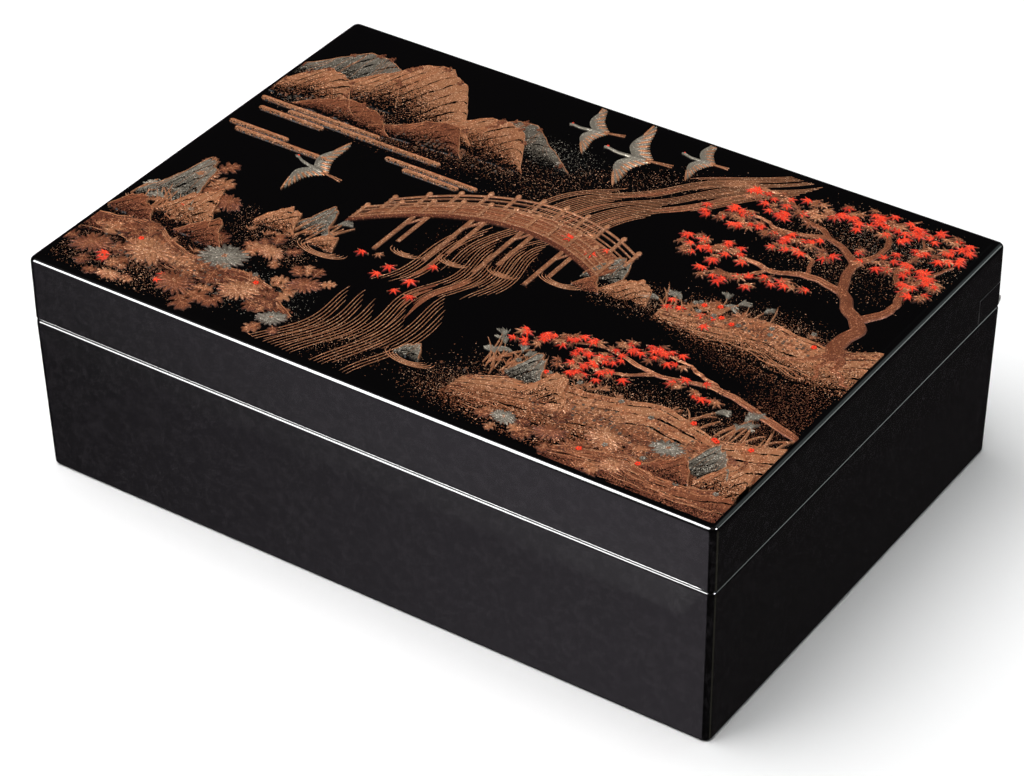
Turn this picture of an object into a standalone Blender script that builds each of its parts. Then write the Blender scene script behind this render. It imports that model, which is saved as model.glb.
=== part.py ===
"""Lacquered accessory box: a hollow body, a hinged lid and a continuous metal hinge.

Metres, +Z up. The origin is the middle of the underside, +X runs along the long front side
to the right, and -Y is the front. The lid opens upwards and back about the hinge at the rear.
"""

import math

import bmesh
import bpy
from mathutils import Matrix, Vector

# Outside of the closed box
box_length = 0.230
box_depth = 0.160
body_height = 0.0520
lid_height = 0.0212
seam_gap = 0.0003            # between the two rims, and between the two hinge leaves
body_draft = 0.0009          # each side leans in by this much at the base
corner_radius = 0.0022       # upright corners
lid_top_round = 0.0014       # round the top panel
lid_rim_round = 0.0006       # outer edge of the lid's rim
body_rim_round = 0.0009      # outer edge of the body's rim
base_round = 0.0008          # outer edge of the underside

# Walls
wall = 0.0075
floor_thickness = 0.0060
lid_top_thickness = 0.0050
cavity_corner_radius = 0.0030
cavity_fillet = 0.0015       # where the inner walls meet the floor and the lid's ceiling
inner_rim_chamfer = 0.0006

# Hinge rail, let into the rear lower edge of the lid
rail_depth = 0.0140
rail_height = 0.0085
rail_relief_depth = 0.0018   # sloping relief over the barrel
rail_relief_height = 0.0034

# Continuous hinge
hinge_axis_offset = 0.0012   # pin's centre behind the rear face
barrel_radius = 0.0015
barrel_clearance = 0.0003
barrel_end_inset = 0.0015
leaf_thickness = 0.0007
leaf_land = 0.0008           # width of rim left in front of a leaf
knuckle_count = 15           # the body's leaf has the first and the last
knuckle_gap = 0.0003
pin_radius = 0.0006
pin_clearance = 0.00008
pin_end_inset = 0.0002

fit_gap = 0.0003             # round what is let in

# Fineness of the round stretches
corner_segments = 6
edge_segments = 4
curl_segments = 14
pin_sides = 16
cut_margin = 0.004           # how far a cutter runs past what it cuts

# Levels and places that follow
lid_base = body_height + seam_gap
lid_top = lid_base + lid_height
seam_level = body_height + seam_gap / 2
rear_face = box_depth / 2
rail_front = rear_face - rail_depth
rail_top = lid_base + rail_height
hinge_axis_y = rear_face + hinge_axis_offset
barrel_length = box_length - 2 * barrel_end_inset
leaf_front = rear_face - wall + leaf_land
barrel_reach = barrel_radius + barrel_clearance
body_chamfer = barrel_reach * math.sqrt(2) - hinge_axis_offset

lacquer_colour = (0.012, 0.011, 0.012, 1.0)
steel_colour = (0.56, 0.55, 0.53, 1.0)


def clear_scene():
    for item in list(bpy.data.objects):
        bpy.data.objects.remove(item, do_unlink=True)


def make_collection(name):
    collection = bpy.data.collections.new(name)
    bpy.context.scene.collection.children.link(collection)
    return collection


def make_material(name, colour, roughness, metallic):
    material = bpy.data.materials.new(name)
    material.use_nodes = True
    shader = material.node_tree.nodes["Principled BSDF"]
    shader.inputs["Base Color"].default_value = colour
    shader.inputs["Roughness"].default_value = roughness
    shader.inputs["Metallic"].default_value = metallic
    return material


def place(name, mesh, collection):
    item = bpy.data.objects.new(name, mesh)
    collection.objects.link(item)
    return item


def as_cutter(item):
    item.hide_render = True
    item.display_type = "WIRE"
    return item


def round_edges(bm, chosen, radius, segments):
    """Round the edges that the test picks from their two end points."""
    edges = [edge for edge in bm.edges if chosen(edge.verts[0].co, edge.verts[1].co)]
    bmesh.ops.bevel(bm, geom=edges, offset=radius, offset_type="OFFSET", segments=segments,
                    profile=0.5, affect="EDGES", clamp_overlap=True)


def rounded_block(name, low, high, radius, collection, draft=0.0, base_edge=0.0, top_edge=0.0):
    """A block between two corners. Its base is drawn in by draft on each side, its upright
    corners have the radius, and its base and top edges are rounded where a size is given."""
    low, high = Vector(low), Vector(high)
    bm = bmesh.new()
    bmesh.ops.create_cube(bm, size=1.0)
    bmesh.ops.scale(bm, vec=high - low, verts=bm.verts)
    bmesh.ops.translate(bm, vec=(low + high) / 2, verts=bm.verts)
    middle = (low + high) / 2
    for vert in bm.verts:
        if vert.co.z < middle.z:
            vert.co.x -= math.copysign(draft, vert.co.x - middle.x)
            vert.co.y -= math.copysign(draft, vert.co.y - middle.y)
    near = (high.z - low.z) * 0.001
    if radius:
        round_edges(bm, lambda a, b: abs(a.z - b.z) > near, radius, corner_segments)
    if base_edge:
        round_edges(bm, lambda a, b: a.z - low.z < near and b.z - low.z < near,
                    base_edge, edge_segments)
    if top_edge:
        round_edges(bm, lambda a, b: high.z - a.z < near and high.z - b.z < near,
                    top_edge, edge_segments)
    bmesh.ops.recalc_face_normals(bm, faces=bm.faces)
    mesh = bpy.data.meshes.new(name)
    bm.to_mesh(mesh)
    bm.free()
    return place(name, mesh, collection)


def bar_along_x(name, outline, length, collection):
    """A flat outline of (y, z) points, carried along X and centred on x = 0."""
    curve = bpy.data.curves.new(name + "_outline", "CURVE")
    curve.dimensions = "2D"
    curve.fill_mode = "BOTH"
    curve.extrude = length / 2
    spline = curve.splines.new("POLY")
    spline.points.add(len(outline) - 1)
    for point, (y, z) in zip(spline.points, outline):
        point.co = (y, z, 0.0, 1.0)
    spline.use_cyclic_u = True
    flat = bpy.data.objects.new(name + "_outline", curve)
    collection.objects.link(flat)
    bpy.context.view_layer.update()
    evaluated = flat.evaluated_get(bpy.context.evaluated_depsgraph_get())
    mesh = bpy.data.meshes.new_from_object(evaluated)
    bpy.data.objects.remove(flat, do_unlink=True)
    bpy.data.curves.remove(curve)
    outline_to_world = Matrix(((0, 0, 1, 0), (1, 0, 0, 0), (0, 1, 0, 0), (0, 0, 0, 1)))
    mesh.transform(outline_to_world)
    bm = bmesh.new()
    bm.from_mesh(mesh)
    bmesh.ops.remove_doubles(bm, verts=bm.verts, dist=1e-6)
    bmesh.ops.recalc_face_normals(bm, faces=bm.faces)
    bm.to_mesh(mesh)
    bm.free()
    mesh.name = name
    return place(name, mesh, collection)


def combine(item, cutter, operation="DIFFERENCE"):
    modifier = item.modifiers.new(cutter.name, "BOOLEAN")
    modifier.operation = operation
    modifier.solver = "EXACT"
    modifier.object = cutter


def finish(item, material):
    item.data.materials.append(material)
    item.data.shade_smooth()
    item.data.set_sharp_from_angle(angle=math.radians(40))


def slanting_cutter(name, run, rise, level, upwards, collection):
    """A three-cornered bar that slopes the rear edge at a rim's level: run is how far the
    slope reaches in from the rear face, and rise is how far it reaches from the rim."""
    side = 1 if upwards else -1
    past_run = cut_margin * run / rise
    past_rise = cut_margin * rise / run
    outline = [
        (rear_face - run - past_run, level - side * cut_margin),
        (rear_face + cut_margin, level - side * cut_margin),
        (rear_face + cut_margin, level + side * (rise + past_rise)),
    ]
    return as_cutter(bar_along_x(name, outline, box_length + 2 * cut_margin, collection))


def leaf_recess(name, upwards, collection):
    """The shallow seat of a hinge leaf, open at the rear face, in the body's rim or the rail."""
    side = 1 if upwards else -1
    rim = lid_base if upwards else body_height
    deep = rim + side * (leaf_thickness + fit_gap)
    past = rim - side * cut_margin
    half = barrel_length / 2 + fit_gap
    return as_cutter(rounded_block(
        name,
        (-half, leaf_front - fit_gap, min(deep, past)),
        (half, rear_face + cut_margin, max(deep, past)),
        0.0, collection))


def body(parts, cutters, material):
    half_x, half_y = box_length / 2, box_depth / 2
    item = rounded_block(
        "box_body", (-half_x, -half_y, 0.0), (half_x, half_y, body_height),
        corner_radius, parts, draft=body_draft, base_edge=base_round, top_edge=body_rim_round)
    inner_x, inner_y = half_x - wall, half_y - wall
    cavity = as_cutter(rounded_block(
        "body_cavity", (-inner_x, -inner_y, floor_thickness),
        (inner_x, inner_y, body_height + cut_margin),
        cavity_corner_radius, cutters, base_edge=cavity_fillet))
    flare = 2 * inner_rim_chamfer
    rim_chamfer = as_cutter(rounded_block(
        "body_rim_chamfer",
        (-inner_x - flare, -inner_y - flare, body_height - inner_rim_chamfer),
        (inner_x + flare, inner_y + flare, body_height + inner_rim_chamfer),
        cavity_corner_radius + flare, cutters, draft=flare))
    combine(item, cavity)
    combine(item, rim_chamfer)
    combine(item, slanting_cutter(
        "body_rear_chamfer", body_chamfer, body_chamfer, body_height, False, cutters))
    combine(item, leaf_recess("body_leaf_recess", False, cutters))
    finish(item, material)
    return item


def lid_block(name, collection):
    half_x, half_y = box_length / 2, box_depth / 2
    return rounded_block(
        name, (-half_x, -half_y, lid_base), (half_x, half_y, lid_top),
        corner_radius, collection, base_edge=lid_rim_round, top_edge=lid_top_round)


def lid(parts, cutters, material):
    item = lid_block("lid", parts)
    inner_x, inner_y = box_length / 2 - wall, box_depth / 2 - wall
    cavity = as_cutter(rounded_block(
        "lid_cavity", (-inner_x, -inner_y, lid_base - cut_margin),
        (inner_x, inner_y, lid_top - lid_top_thickness),
        cavity_corner_radius, cutters, top_edge=cavity_fillet))
    flare = 2 * inner_rim_chamfer
    rim_chamfer = as_cutter(rounded_block(
        "lid_rim_chamfer",
        (-inner_x, -inner_y, lid_base - inner_rim_chamfer),
        (inner_x, inner_y, lid_base + inner_rim_chamfer),
        cavity_corner_radius, cutters, draft=-flare))
    pocket = as_cutter(rounded_block(
        "rail_pocket",
        (-box_length / 2 - cut_margin, rail_front - fit_gap, lid_base - cut_margin),
        (box_length / 2 + cut_margin, rear_face + cut_margin, rail_top + fit_gap),
        0.0, cutters))
    combine(item, cavity)
    combine(item, rim_chamfer)
    combine(item, pocket)
    finish(item, material)
    return item


def hinge_rail(parts, cutters, material):
    item = lid_block("hinge_rail", parts)
    kept = as_cutter(rounded_block(
        "rail_extent",
        (-box_length / 2 - cut_margin, rail_front, lid_base - cut_margin),
        (box_length / 2 + cut_margin, rear_face + cut_margin, rail_top),
        0.0, cutters))
    combine(item, kept, "INTERSECT")
    combine(item, slanting_cutter(
        "rail_relief", rail_relief_depth, rail_relief_height, lid_base, True, cutters))
    combine(item, leaf_recess("rail_leaf_recess", True, cutters))
    finish(item, material)
    return item


def leaf_outline():
    """The body's leaf seen from its end, as (y, z) about the pin's centre: a flat strip whose
    rear edge rolls down, round and up over the pin, and stops a seam's width above the strip."""
    inner, outer = pin_radius + pin_clearance, barrel_radius
    top, bottom = -seam_gap / 2, -seam_gap / 2 - leaf_thickness
    front = leaf_front - hinge_axis_y
    stop = seam_gap / 2

    def arc(radius, from_level, to_level, segments):
        """Points on a circle from the front side at one level, under the pin, to another."""
        start = math.pi - math.asin(from_level / radius)
        end = math.pi - math.asin(to_level / radius) + 2 * math.pi
        steps = [start + (end - start) * step / segments for step in range(segments + 1)]
        return [(radius * math.cos(angle), radius * math.sin(angle)) for angle in steps]

    outside = arc(outer, bottom, stop, curl_segments)
    inside = arc(inner, top, stop, curl_segments)
    return [(front, bottom)] + outside + inside[::-1] + [(front, top)]


def knuckle_spaces(name, first, collection):
    """Boxes where the other leaf's knuckles turn: every second place along the barrel."""
    pitch = barrel_length / knuckle_count
    bm = bmesh.new()
    for index in range(first, knuckle_count, 2):
        low = -barrel_length / 2 + index * pitch - knuckle_gap / 2
        high = low + pitch + knuckle_gap
        if index == 0:
            low -= cut_margin
        if index == knuckle_count - 1:
            high += cut_margin
        box = bmesh.ops.create_cube(bm, size=1.0)["verts"]
        depth = barrel_reach + cut_margin
        bmesh.ops.scale(bm, vec=(high - low, depth, 2 * cut_margin), verts=box)
        centre = ((low + high) / 2, hinge_axis_y - barrel_reach + depth / 2, seam_level)
        bmesh.ops.translate(bm, vec=centre, verts=box)
    mesh = bpy.data.meshes.new(name)
    bm.to_mesh(mesh)
    bm.free()
    return as_cutter(place(name, mesh, collection))


def hinge_leaf(name, flip, parts, cutters, material):
    outline = [(hinge_axis_y + y, seam_level + (-z if flip else z)) for y, z in leaf_outline()]
    item = bar_along_x(name, outline, barrel_length, parts)
    combine(item, knuckle_spaces(name + "_spaces", 0 if flip else 1, cutters))
    finish(item, material)
    return item


def hinge_pin(parts, material):
    bm = bmesh.new()
    bmesh.ops.create_cone(bm, cap_ends=True, segments=pin_sides, radius1=pin_radius,
                          radius2=pin_radius, depth=barrel_length - 2 * pin_end_inset)
    mesh = bpy.data.meshes.new("hinge_pin")
    bm.to_mesh(mesh)
    bm.free()
    item = place("hinge_pin", mesh, parts)
    item.rotation_euler = (0.0, math.pi / 2, 0.0)
    item.location = (0.0, hinge_axis_y, seam_level)
    finish(item, material)
    return item


def set_on_axis(item):
    """Put a moving piece's origin on the hinge axis, with its mesh where it was."""
    axis_point = Vector((0.0, hinge_axis_y, seam_level))
    item.data.transform(Matrix.Translation(-axis_point))
    item.location = axis_point


def main():
    clear_scene()
    parts = make_collection("lacquer_accessory_box")
    cutters = make_collection("cutters")
    lacquer = make_material("black_lacquer", lacquer_colour, 0.12, 0.0)
    steel = make_material("nickel_plated_steel", steel_colour, 0.3, 1.0)
    body(parts, cutters, lacquer)
    hinge_leaf("hinge_leaf_box", False, parts, cutters, steel)
    hinge_pin(parts, steel)
    moving = [
        lid(parts, cutters, lacquer),
        hinge_rail(parts, cutters, lacquer),
        hinge_leaf("hinge_leaf_lid", True, parts, cutters, steel),
    ]
    for item in moving:
        set_on_axis(item)


main()
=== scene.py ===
import math
import bmesh
import bpy
import numpy as np
from mathutils import Matrix, Vector


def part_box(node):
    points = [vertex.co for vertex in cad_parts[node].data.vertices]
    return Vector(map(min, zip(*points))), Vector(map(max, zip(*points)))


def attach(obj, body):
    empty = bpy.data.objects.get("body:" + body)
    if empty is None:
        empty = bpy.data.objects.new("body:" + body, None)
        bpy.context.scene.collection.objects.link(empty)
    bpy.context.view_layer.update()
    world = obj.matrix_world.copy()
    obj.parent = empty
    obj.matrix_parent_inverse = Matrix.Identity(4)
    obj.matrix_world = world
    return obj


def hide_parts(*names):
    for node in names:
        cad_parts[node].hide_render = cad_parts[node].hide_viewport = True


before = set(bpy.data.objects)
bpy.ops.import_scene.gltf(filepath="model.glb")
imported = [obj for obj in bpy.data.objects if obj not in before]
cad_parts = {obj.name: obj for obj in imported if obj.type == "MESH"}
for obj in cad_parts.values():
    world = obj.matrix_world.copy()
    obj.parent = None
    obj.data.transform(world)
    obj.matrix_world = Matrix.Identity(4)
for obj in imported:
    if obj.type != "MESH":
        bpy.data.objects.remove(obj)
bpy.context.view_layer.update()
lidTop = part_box("lid")[1].z
mm = 0.001


# Shader maths: a Wire is one socket's value, and sums on it add Math nodes
class Wire:
    def __init__(self, finish, socket):
        self.finish = finish
        self.socket = socket

    def maths(self, operation, first, second=0.0):
        made = self.finish.node("ShaderNodeMath", {"operation": operation}, {0: first, 1: second})
        return Wire(self.finish, made.outputs[0])

    def __add__(self, other):
        return self.maths("ADD", self, other)

    def __radd__(self, other):
        return self.maths("ADD", other, self)

    def __sub__(self, other):
        return self.maths("SUBTRACT", self, other)

    def __rsub__(self, other):
        return self.maths("SUBTRACT", other, self)

    def __mul__(self, other):
        return self.maths("MULTIPLY", self, other)

    def __rmul__(self, other):
        return self.maths("MULTIPLY", other, self)

    def __lt__(self, other):
        return self.maths("LESS_THAN", self, other)

    def __gt__(self, other):
        return self.maths("GREATER_THAN", self, other)

    def atLeast(self, other):
        return self.maths("MAXIMUM", self, other)

    def between(self, low, high):     # 0 at low and 1 at high, eased
        made = self.finish.node("ShaderNodeMapRange", {"interpolation_type": "SMOOTHSTEP"},
                                {"Value": self, "From Min": low, "From Max": high})
        return Wire(self.finish, made.outputs["Result"])


# One material or world, whose nodes all come from node()
class Finish:
    def __init__(self, name, tree=None):
        if tree is None:
            self.material = bpy.data.materials.new(name)
            self.material.use_nodes = True
            tree = self.material.node_tree
        self.tree = tree
        self.tree.nodes.clear()

    def node(self, kind, settings=None, inputs=None):
        made = self.tree.nodes.new(kind)
        for key, value in (settings or {}).items():
            setattr(made, key, value)
        for key, value in (inputs or {}).items():
            if isinstance(value, Wire):
                self.tree.links.new(value.socket, made.inputs[key])
            else:
                made.inputs[key].default_value = value
        return made

    def wire(self, made, output=0):
        return Wire(self, made.outputs[output])

    def place(self, scale=(1, 1, 1)):  # the point on the piece, in metres times scale
        spot = self.node("ShaderNodeTexCoord")
        mapped = self.node("ShaderNodeMapping", None,
                           {"Vector": self.wire(spot, "Object"), "Scale": scale})
        return self.wire(mapped)

    def noise(self, scale, detail=2.0, roughness=0.5, stretch=(1, 1, 1), distortion=0.0):
        made = self.node("ShaderNodeTexNoise", None, {
            "Vector": self.place(stretch), "Scale": scale, "Detail": detail,
            "Roughness": roughness, "Distortion": distortion})
        return self.wire(made, "Fac")

    def measure(self, name):           # a value that the mesh carries at its points
        return self.wire(self.node("ShaderNodeAttribute", {"attribute_name": name}), "Fac")

    def cells(self, scale):            # how far from a cell's middle, and three numbers of its own
        made = self.node("ShaderNodeTexVoronoi", {"feature": "F1"},
                         {"Vector": self.place(), "Scale": scale})
        parts = self.node("ShaderNodeSeparateColor", None, {0: self.wire(made, "Color")})
        return [self.wire(made, "Distance")] + [self.wire(parts, index) for index in range(3)]

    def mix(self, factor, first, second):
        made = self.node("ShaderNodeMix", {"data_type": "RGBA"},
                         {0: factor, 6: first, 7: second})
        return Wire(self, made.outputs[2])

    def bump(self, height, distance):
        return self.wire(self.node("ShaderNodeBump", None, {"Height": height, "Distance": distance}))

    def surface(self, **values):
        shader = self.node("ShaderNodeBsdfPrincipled", None,
                           {key.replace("_", " "): value for key, value in values.items()})
        self.node("ShaderNodeOutputMaterial", None, {"Surface": self.wire(shader)})
        return self.material


def tint(red, green, blue):
    return (red, green, blue, 1.0)


def newObject(name, data):
    made = bpy.data.objects.new(name, data)
    bpy.context.scene.collection.objects.link(made)
    return made


# Camera: at the photograph's viewing angle, for a picture 1024 points wide
cameraDetails = {
    "azimuth": 34.329, "elevation": 35.973, "roll": -0.606, "distance": 1.0399,
    "aim": (0.00166, -0.00583, 0.02882), "focalPoints": 3561.0, "pictureWidth": 1024,
    "sensor": 36.0,
}


def makeCamera(details):
    turn, rise = math.radians(details["azimuth"]), math.radians(details["elevation"])
    back = Vector((math.sin(turn) * math.cos(rise), -math.cos(turn) * math.cos(rise),
                   math.sin(rise)))
    side = Vector((math.cos(turn), math.sin(turn), 0.0))
    roll = Matrix.Rotation(math.radians(details["roll"]), 3, back)
    side = roll @ side
    up = back.cross(side)
    data = bpy.data.cameras.new("camera")
    data.sensor_width = details["sensor"]
    data.lens = details["focalPoints"] * details["sensor"] / details["pictureWidth"]
    data.clip_start, data.clip_end = 0.05, 50.0
    camera = newObject("camera", data)
    axes = Matrix((side, up, back)).transposed().to_4x4()
    spot = Vector(details["aim"]) + back * details["distance"]
    camera.matrix_world = Matrix.Translation(spot) @ axes
    bpy.context.scene.camera = camera


makeCamera(cameraDetails)
print("camera done")


# Floor and light
stageDetails = {
    "floorSize": 6.0, "floorDrop": 0.0002, "floorColour": tint(0.86, 0.86, 0.86),
    "worldDark": tint(0.02, 0.018, 0.019), "worldFront": tint(0.50, 0.455, 0.52),
    "worldRight": tint(0.033, 0.03, 0.031), "worldOlive": tint(0.22, 0.21, 0.16),
    "worldBand": tint(0.42, 0.5, 0.5), "worldCeiling": tint(0.3, 0.28, 0.29),
}

# the strips and the spark are for the gloss alone, and the overhead light for all but the gloss
lights = {
    "overhead": {"place": (-0.5, -0.3, 1.9), "aim": (0, 0, 0), "size": (2.0, 2.0), "power": 62,
                 "gloss": False},
    "frontStrip": {"place": (-0.6, -0.84, 0.9), "aim": (0, 0, 0.07), "size": (0.55, 1.4),
                   "power": 58, "diffuse": False},
    "rightRear": {"place": (0.75, 0.95, 0.62), "aim": (0, 0, 0.07), "size": (0.5, 0.3),
                  "power": 1.3, "colour": (0.9, 1.0, 0.97)},
    "cornerSpark": {"place": (1.07, 0.19, 1.05), "aim": (0.11, -0.08, 0.06), "size": (0.4, 0.4),
                    "power": 40, "diffuse": False},
    "seamStrip": {"place": (-0.011, -0.0895, 0.036), "aim": (-0.011, -0.0894, 0.053),
                  "size": (0.228, 0.011), "power": 0.2, "spread": 90, "diffuse": False},
}


def makeFloor(details):
    half = details["floorSize"] / 2
    drop = -details["floorDrop"]
    mesh = bpy.data.meshes.new("floor")
    mesh.from_pydata([(-half, -half, drop), (half, -half, drop), (half, half, drop),
                      (-half, half, drop)], [], [(0, 1, 2, 3)])
    floor = newObject("floor", mesh)
    finish = Finish("paleFloor")
    mesh.materials.append(finish.surface(Base_Color=details["floorColour"], Roughness=0.9))
    floor.visible_glossy = False       # the lacquer reflects the dim room, as in the photograph


def makeLights(allLights):
    for name, values in allLights.items():
        data = bpy.data.lights.new(name, "AREA")
        data.shape = "RECTANGLE"
        data.size, data.size_y = values["size"]
        data.energy = values["power"]
        data.color = values.get("colour", (1, 1, 1))
        data.spread = math.radians(values.get("spread", 180))
        light = newObject(name, data)
        light.visible_camera = False
        light.visible_diffuse = values.get("diffuse", True)
        light.visible_glossy = values.get("gloss", True)
        away = Vector(values["place"]) - Vector(values["aim"])
        light.matrix_world = (Matrix.Translation(values["place"])
                              @ away.to_track_quat("Z", "Y").to_matrix().to_4x4())


def makeWorld(details):
    world = bpy.data.worlds.new("room")
    bpy.context.scene.world = world
    world.use_nodes = True
    finish = Finish("room", world.node_tree)
    direction = finish.wire(finish.node("ShaderNodeTexCoord"), "Generated")
    apart = finish.node("ShaderNodeSeparateXYZ", None, {0: direction})
    across, along, height = (finish.wire(apart, index) for index in range(3))
    # below the horizon the front left of the room is grey, more so to the middle, and the right
    # is dim with an olive patch; a dim band stands high at the rear, the ceiling in front is dim
    # too, and the rest is nearly black
    below = height * -1.0
    low = below.between(-0.05, 0.3)
    forward = along * -1.0
    leftward = forward.maths("DIVIDE", across * -1.0, forward)
    steep = forward.maths("DIVIDE", below, forward)
    front = forward.between(0.3, 0.6) * (1.0 - leftward.between(0.56, 1.2))
    front = front * leftward.between(0.15, 0.5) * (1.0 - steep.between(0.9, 1.02) * 0.32)
    ceiling = height.between(0.76, 0.84) * (1.0 - along.between(0.1, 0.3))
    olive = across.between(0.62, 0.7) * along.between(0.0, 0.12) * (1.0 - along.between(0.4, 0.48))
    band = height.between(0.5, 0.6) * along.between(0.5, 0.6) * across.between(-0.34, -0.1)
    colour = finish.mix(low * across.between(0.2, 0.4), details["worldDark"],
                        details["worldRight"])
    colour = finish.mix(low * olive, colour, details["worldOlive"])
    colour = finish.mix(low * front, colour, details["worldFront"])
    colour = finish.mix(band, colour, details["worldBand"])
    colour = finish.mix(ceiling, colour, details["worldCeiling"])
    background = finish.node("ShaderNodeBackground", None, {"Color": colour})
    finish.node("ShaderNodeOutputWorld", None, {"Surface": finish.wire(background)})


makeFloor(stageDetails)
makeLights(lights)
makeWorld(stageDetails)
bpy.context.scene.view_settings.view_transform = "Standard"
print("floor and light done")


# Black lacquer on the box, the lid and the rail; dull nickel on the hinge
# the lacquer's second colour is a faintly paler mottle for the sides: a painted reflection of the
# room
lacquer = {
    "black": tint(0.0008, 0.0007, 0.0008), "wearAndSheen": tint(0.010, 0.009, 0.010),
    "cloudScale": 420.0, "rippleScale": 420.0, "rippleDepth": 0.000003,
    "waveScale": 70.0, "waveDepth": 0.00004, "roughLow": 0.07, "roughHigh": 0.13,
}

# the rail's join with the lid, filled with a bead of lacquer that shows as a hairline; its greys, far
# paler than the black lacquer, are a painted highlight of light caught along the join
join = {"pale": tint(0.09, 0.087, 0.09), "dark": tint(0.04, 0.038, 0.04), "scale": 900.0,
        "rough": 0.4, "gap": 0.0003, "proud": 0.00004, "corner": 0.0022, "rimGap": 0.0006,
        "cornerSteps": 26, "roundSteps": 7}

nickel = {
    "bright": tint(0.52, 0.51, 0.49), "dull": tint(0.25, 0.24, 0.225), "grainScale": 900.0,
    "roughLow": 0.36, "roughHigh": 0.56, "grainDepth": 0.00001, "metallic": 0.55,
}


def makeLacquer(values):
    finish = Finish("blackLacquer")
    cloud = finish.noise(values["cloudScale"], 4.0, 0.6, distortion=0.6)
    ripple = finish.noise(values["rippleScale"], 2.0)
    fine = finish.noise(values["rippleScale"] * 5, 2.0)
    # painted reflection: the sides get a faintly paler mottle in their colour, standing for the room
    # reflected in them, and the top is clear
    spot = finish.node("ShaderNodeSeparateXYZ", None, {0: finish.place()})
    side = 1.0 - finish.wire(spot, 2).between(lidTop - 0.003, lidTop - 0.001)
    colour = finish.mix(cloud.between(0.4, 0.72) * side, values["black"], values["wearAndSheen"])
    rough = values["roughLow"] + (values["roughHigh"] - values["roughLow"]) * (
        cloud * 0.6 + fine * 0.4)
    wave = finish.noise(values["waveScale"], 2.0, 0.5, distortion=1.2)
    height = ripple * values["rippleDepth"] + wave * values["waveDepth"]
    return finish.surface(Base_Color=colour, Roughness=rough, IOR=1.6,
                          Normal=finish.bump(height, 1.0))


def makeJoinLacquer(values):
    # painted highlight: pale and darker grey mottle, lighter than the black lacquer, for the light
    # caught on the join
    finish = Finish("paintedJoinHighlight")
    cloud = finish.noise(values["scale"], 3.0, 0.6)
    return finish.surface(Base_Color=finish.mix(cloud.between(0.35, 0.65), values["dark"],
                                                values["pale"]), Roughness=values["rough"])


def makeNickel(values):
    finish = Finish("dullNickel")
    drawn = finish.noise(values["grainScale"], 3.0, 0.6, stretch=(0.08, 1, 1))
    spots = finish.noise(values["grainScale"] * 0.5, 3.0, 0.7)
    colour = finish.mix(spots.between(0.5, 0.75), values["bright"], values["dull"])
    rough = values["roughLow"] + (values["roughHigh"] - values["roughLow"]) * spots
    return finish.surface(Base_Color=colour, Roughness=rough, Metallic=values["metallic"],
                          Normal=finish.bump(drawn, values["grainDepth"]))


blackLacquer = makeLacquer(lacquer)
joinLacquer = makeJoinLacquer(join)
dullNickel = makeNickel(nickel)

dressed = {
    "lacquer_body": ("box_body", "box", blackLacquer, "black_lacquer"),
    "lacquer_lid": ("lid", "lid", blackLacquer, "black_lacquer"),
    "lacquer_rail": ("hinge_rail", "lid", blackLacquer, "black_lacquer"),
    "leaf_in_body": ("hinge_leaf_box", "box", dullNickel, "hinge_steel"),
    "leaf_in_rail": ("hinge_leaf_lid", "lid", dullNickel, "hinge_steel"),
    "pin_of_hinge": ("hinge_pin", "box", dullNickel, "hinge_steel"),
}
# in metres and degrees
smoothing = {"merged": 1e-6, "flatUnder": 0.1, "sharpOver": 25, "reliefSharpOver": 50, "weight": 100}


def addPiece(name, mesh, material, body):
    mesh.materials.append(material)
    piece = newObject(name, mesh)
    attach(piece, body)
    return piece


def smoothCopy(name, node, body, material, slotName):
    # the node's own form, merged and smooth, whose flats are one face each and stay flat
    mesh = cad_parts[node].data.copy()
    mesh.name = name
    bm = bmesh.new()
    bm.from_mesh(mesh)
    bmesh.ops.remove_doubles(bm, verts=bm.verts, dist=smoothing["merged"])
    bmesh.ops.dissolve_limit(bm, angle_limit=math.radians(smoothing["flatUnder"]), verts=bm.verts,
                             edges=bm.edges)
    bm.to_mesh(mesh)
    bm.free()
    mesh.shade_smooth()
    mesh.set_sharp_from_angle(angle=math.radians(smoothing["sharpOver"]))
    mesh.materials.clear()
    piece = addPiece(name, mesh, material, body)
    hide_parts(node)
    weighted = piece.modifiers.new("flats", "WEIGHTED_NORMAL")
    weighted.keep_sharp = True
    weighted.weight = smoothing["weight"]


# Faces round a stack of closed loops, each to the next, and the loops that cap its ends
def loopFaces(loops, across):
    here = np.arange(loops * across).reshape(loops, across)
    following = np.roll(here, -1, axis=1)
    quads = np.stack([here[:-1], following[:-1], following[1:], here[1:]], -1).reshape(-1, 4)
    return quads, (here[0][::-1], here[-1])


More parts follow.
